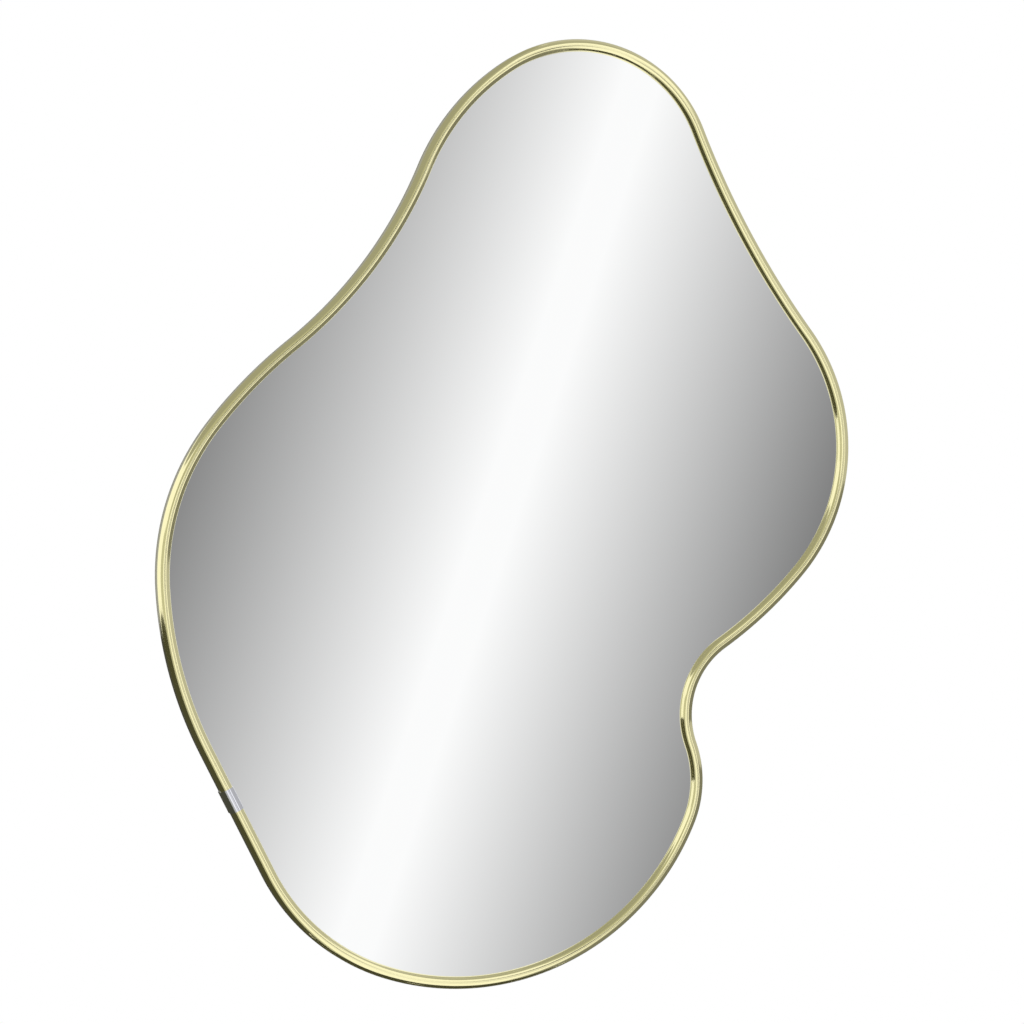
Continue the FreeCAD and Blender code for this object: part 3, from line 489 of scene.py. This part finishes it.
def make_wire_ring(side):
    """One closed ring: a bar in the strap's curl, two corners, two legs and a round bow."""
    bar_middle = Vector((hanger_places[side], -ring_depth, hanger_height))
    bar_end = bar_middle + across_wall * ring_half_bar
    wire = bmesh.new()
    turn = Vector((1, 0, 0)).to_track_quat("Z", "Y").to_matrix().to_4x4()
    turn.translation = bar_end
    made = bmesh.ops.create_circle(wire, cap_ends=False, radius=ring_wire,
                                   segments=wire_sides, matrix=turn)
    first = made["verts"]
    piece = first + list({edge for vert in first for edge in vert.link_edges})
    piece = push(wire, piece, across_wall * -2 * ring_half_bar)
    corner_left = bar_middle - across_wall * ring_half_bar + ring_down * ring_corner
    piece = bend_wire(wire, piece, corner_left, 90)
    piece = push(wire, piece, ring_down * ring_leg)
    bow_middle = bar_middle + ring_down * (ring_corner + ring_leg)
    piece = bend_wire(wire, piece, bow_middle, 180)
    piece = push(wire, piece, ring_down * -ring_leg)
    corner_right = bar_middle + across_wall * ring_half_bar + ring_down * ring_corner
    bend_wire(wire, piece, corner_right, 90)
    bmesh.ops.remove_doubles(wire, verts=wire.verts[:], dist=0.01 * mm)
    ring = finish_mesh(wire, "wire_ring_" + side, zinc, "hanger_ring_" + side, 60)
    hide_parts("hanger_ring_" + side)


for side in hanger_places:
    make_wire_ring(side)

screw_radius = 1.5 * mm
screw_length = 4.5 * mm
head_radius = 3.2 * mm
head_height = 1.9 * mm
head_round = 0.7 * mm
recess_reach = 1.7 * mm
recess_half = 0.42 * mm
recess_depth = 1.1 * mm
recess_taper = 0.7
screw_drops = [26 * mm, 38 * mm]
turned_sides = 32


def turn_screw(bm, seat):
    """A pan-head screw with a cross recess, its head's underside at the seat."""
    outline = [(0, -screw_length), (screw_radius * 0.7, -screw_length),
               (screw_radius, -screw_length + screw_radius * 0.5), (screw_radius, 0),
               (head_radius, 0), (head_radius, head_height - head_round),
               (head_radius - head_round * 0.3, head_height - head_round * 0.3),
               (head_radius - head_round, head_height), (recess_reach * 1.2, head_height)]
    verts = [bm.verts.new(seat + Vector((radius, away, 0))) for radius, away in outline]
    edges = [bm.edges.new(pair) for pair in zip(verts, verts[1:])]
    bmesh.ops.spin(bm, geom=verts + edges, cent=seat, axis=(0, 1, 0), angle=2 * math.pi,
                   steps=turned_sides, use_merge=True)
    rim = [edge for edge in bm.edges if edge.is_boundary
           and edge.verts[0].co.y > seat.y + head_height - 0.01 * mm
           and (edge.verts[0].co - seat).length < head_radius]
    cross = []
    for quarter in range(4):
        for x, z in ((recess_half, recess_half), (recess_half, recess_reach),
                     (-recess_half, recess_reach)):
            for _ in range(quarter):
                x, z = -z, x
            cross.append(bm.verts.new(seat + Vector((x, head_height, z))))
    loop = [bm.edges.new(pair) for pair in zip(cross, cross[1:] + cross[:1])]
    bmesh.ops.triangle_fill(bm, use_beauty=True, use_dissolve=False, edges=rim + loop)
    floor = bmesh.ops.extrude_edge_only(bm, edges=loop)["geom"]
    low = [part for part in floor if isinstance(part, bmesh.types.BMVert)]
    for vert in low:
        vert.co = seat + (vert.co - seat) * recess_taper
        vert.co.y = seat.y + head_height - recess_depth
    bmesh.ops.contextual_create(bm, geom=[part for part in floor
                                          if isinstance(part, bmesh.types.BMEdge)
                                          and set(part.verts) <= set(low)])


screws = bmesh.new()
for x in hanger_places.values():
    for drop in screw_drops:
        turn_screw(screws, Vector((x, strap_thickness - board_back, hanger_height - drop)))
bmesh.ops.remove_doubles(screws, verts=screws.verts[:], dist=same_point)
screws_object = finish_mesh(screws, "pan_head_screws", zinc)
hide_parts("hanger_screws")


# ---- Studio ---------------------------------------------------------------------------
# The mirror hangs free before a white background. Cards stand round it, which the camera
# doesn't see, and they and the white between them are what its rail and glass reflect.

def shine(mesh, name, level):
    """Make an object of the studio that shines by itself, at one level or by a pattern."""
    data = bpy.data.meshes.new(name)
    mesh.to_mesh(data)
    mesh.free()
    made = bpy.data.objects.new(name, data)
    bpy.context.scene.collection.objects.link(made)
    material = bpy.data.materials.new(name)
    material.use_nodes = True
    finish = Finish(material.node_tree)
    finish.tree.nodes.clear()
    glow = finish.node("ShaderNodeEmission", {}, {"Color": level(finish), "Strength": 1.0})
    output = finish.tree.nodes.new("ShaderNodeOutputMaterial")
    finish.feed(output.inputs["Surface"], glow)
    data.materials.append(material)
    made.visible_camera = False


card_distance = 2.3
card_columns = 12
card_rows = 6


def divided(ends, count):
    """The marks that divide a stretch into equal parts, its two ends among them."""
    return [ends[0] + (ends[1] - ends[0]) * i / count for i in range(count + 1)]


def curved_card(name, turns, rises, level, blue):
    """A part of a dome round the mirror. Turns run from the front to the right, in degrees.

    Blue is the share of the card's level that it gives off as blue light.
    """
    def on_dome(turn, rise):
        turn, rise = math.radians(turn), math.radians(rise)
        return card_distance * Vector((math.sin(turn) * math.cos(rise),
                                       -math.cos(turn) * math.cos(rise), math.sin(rise)))

    mesh = bmesh.new()
    columns = divided(turns, card_columns)
    rows = divided(rises, card_rows)
    for left_side, right_side in zip(columns, columns[1:]):
        for low, high in zip(rows, rows[1:]):
            mesh.faces.new([mesh.verts.new(on_dome(*place)) for place in
                            ((left_side, low), (right_side, low),
                             (right_side, high), (left_side, high))])
    shine(mesh, name, lambda finish: (level, level, blue * level, 1.0))


ridge_lean = 0.341
ridge_place = 0.990
ridge_half_width = 0.04
ridge_fade = 0.64
ridge_curve = 0.17
screen_gamma = 2.2


def ridge(finish):
    """A bright slanting band that fades to grey on both sides, as the glass shows it."""
    place = finish.node("ShaderNodeSeparateXYZ", {}, {"Vector": finish.place()}, "X")
    across = Value(finish, place.socket)
    up = Value(finish, place.socket.node.outputs["Z"])
    away = (abs(across - ridge_lean * up - ridge_place) - ridge_half_width).at_least(0.0)
    drop = ridge_fade * away + ridge_curve * away * away
    level = (1.0 - drop).at_least(0.0) ** screen_gamma
    return finish.node("ShaderNodeCombineColor", {}, {0: level, 1: level, 2: level})


# each card: the turns and the rises between which it stands, its level and its blue
cards = {
    "left ceiling card": ((-180, -20), (28, 88), 0.35, 0.88),
    "middle ceiling card": ((-20, 60), (45, 88), 0.42, 0.92),
    "right ceiling card": ((60, 180), (28, 88), 0.50, 1.0),
    "front ceiling card": ((-45, -2), (8, 45), 0.46, 0.82),
    "front wall card": ((-62, -19), (-9, 8), 0.55, 0.85),
    "back card": ((-205, -150), (-6, 28), 0.36, 0.95),
    "left back floor card": ((-186, -150), (-60, -6), 0.065, 0.7),
    "right wall card": ((42, 140), (-5, 28), 0.50, 1.0),
    "left floor card": ((-150, -45), (-60, -10), 0.065, 0.62),
    "near left floor card": ((-45, -22), (-60, -9), 0.50, 0.9),
    "near right floor card": ((30, 42), (-60, -20), 0.45, 0.95),
    "right floor card": ((42, 140), (-60, -5), 0.20, 0.95),
    "back floor card": ((140, 174), (-60, -12), 0.10, 0.9),
    "low floor card": ((-180, 180), (-88, -60), 0.055, 0.65),
}
for name, place_and_light in cards.items():
    curved_card(name, *place_and_light)

gradient_left = 0.1
gradient_right = 1.95
gradient_depth = -4.0
gradient_rise = 1.2
gradient = bmesh.new()
gradient.faces.new([gradient.verts.new((x, gradient_depth, z)) for x, z in
                    ((gradient_left, -gradient_rise), (gradient_right, -gradient_rise),
                     (gradient_right, gradient_rise), (gradient_left, gradient_rise))])
shine(gradient, "gradient card", ridge)

world = bpy.data.worlds.new("white studio")
world.use_nodes = True
world.node_tree.nodes["Background"].inputs["Color"].default_value = (1, 1, 1, 1)
world.node_tree.nodes["Background"].inputs["Strength"].default_value = 1.0
bpy.context.scene.world = world
bpy.context.scene.view_settings.view_transform = "Standard"

camera_data = bpy.data.cameras.new("camera")
camera_data.lens = 125.2
camera_data.sensor_width = 36
camera_data.shift_x = 0.0015
camera = bpy.data.objects.new("camera", camera_data)
bpy.context.scene.collection.objects.link(camera)
camera_azimuth = math.radians(-14.28)
camera_distance = 3.0
camera_target = Vector((0, -0.013, 0))
camera_back = Vector((math.sin(camera_azimuth), -math.cos(camera_azimuth), 0))
camera.location = camera_target + camera_back * camera_distance
camera.rotation_mode = "QUATERNION"
camera.rotation_quaternion = (-camera_back).to_track_quat("-Z", "Y")
bpy.context.scene.camera = camera
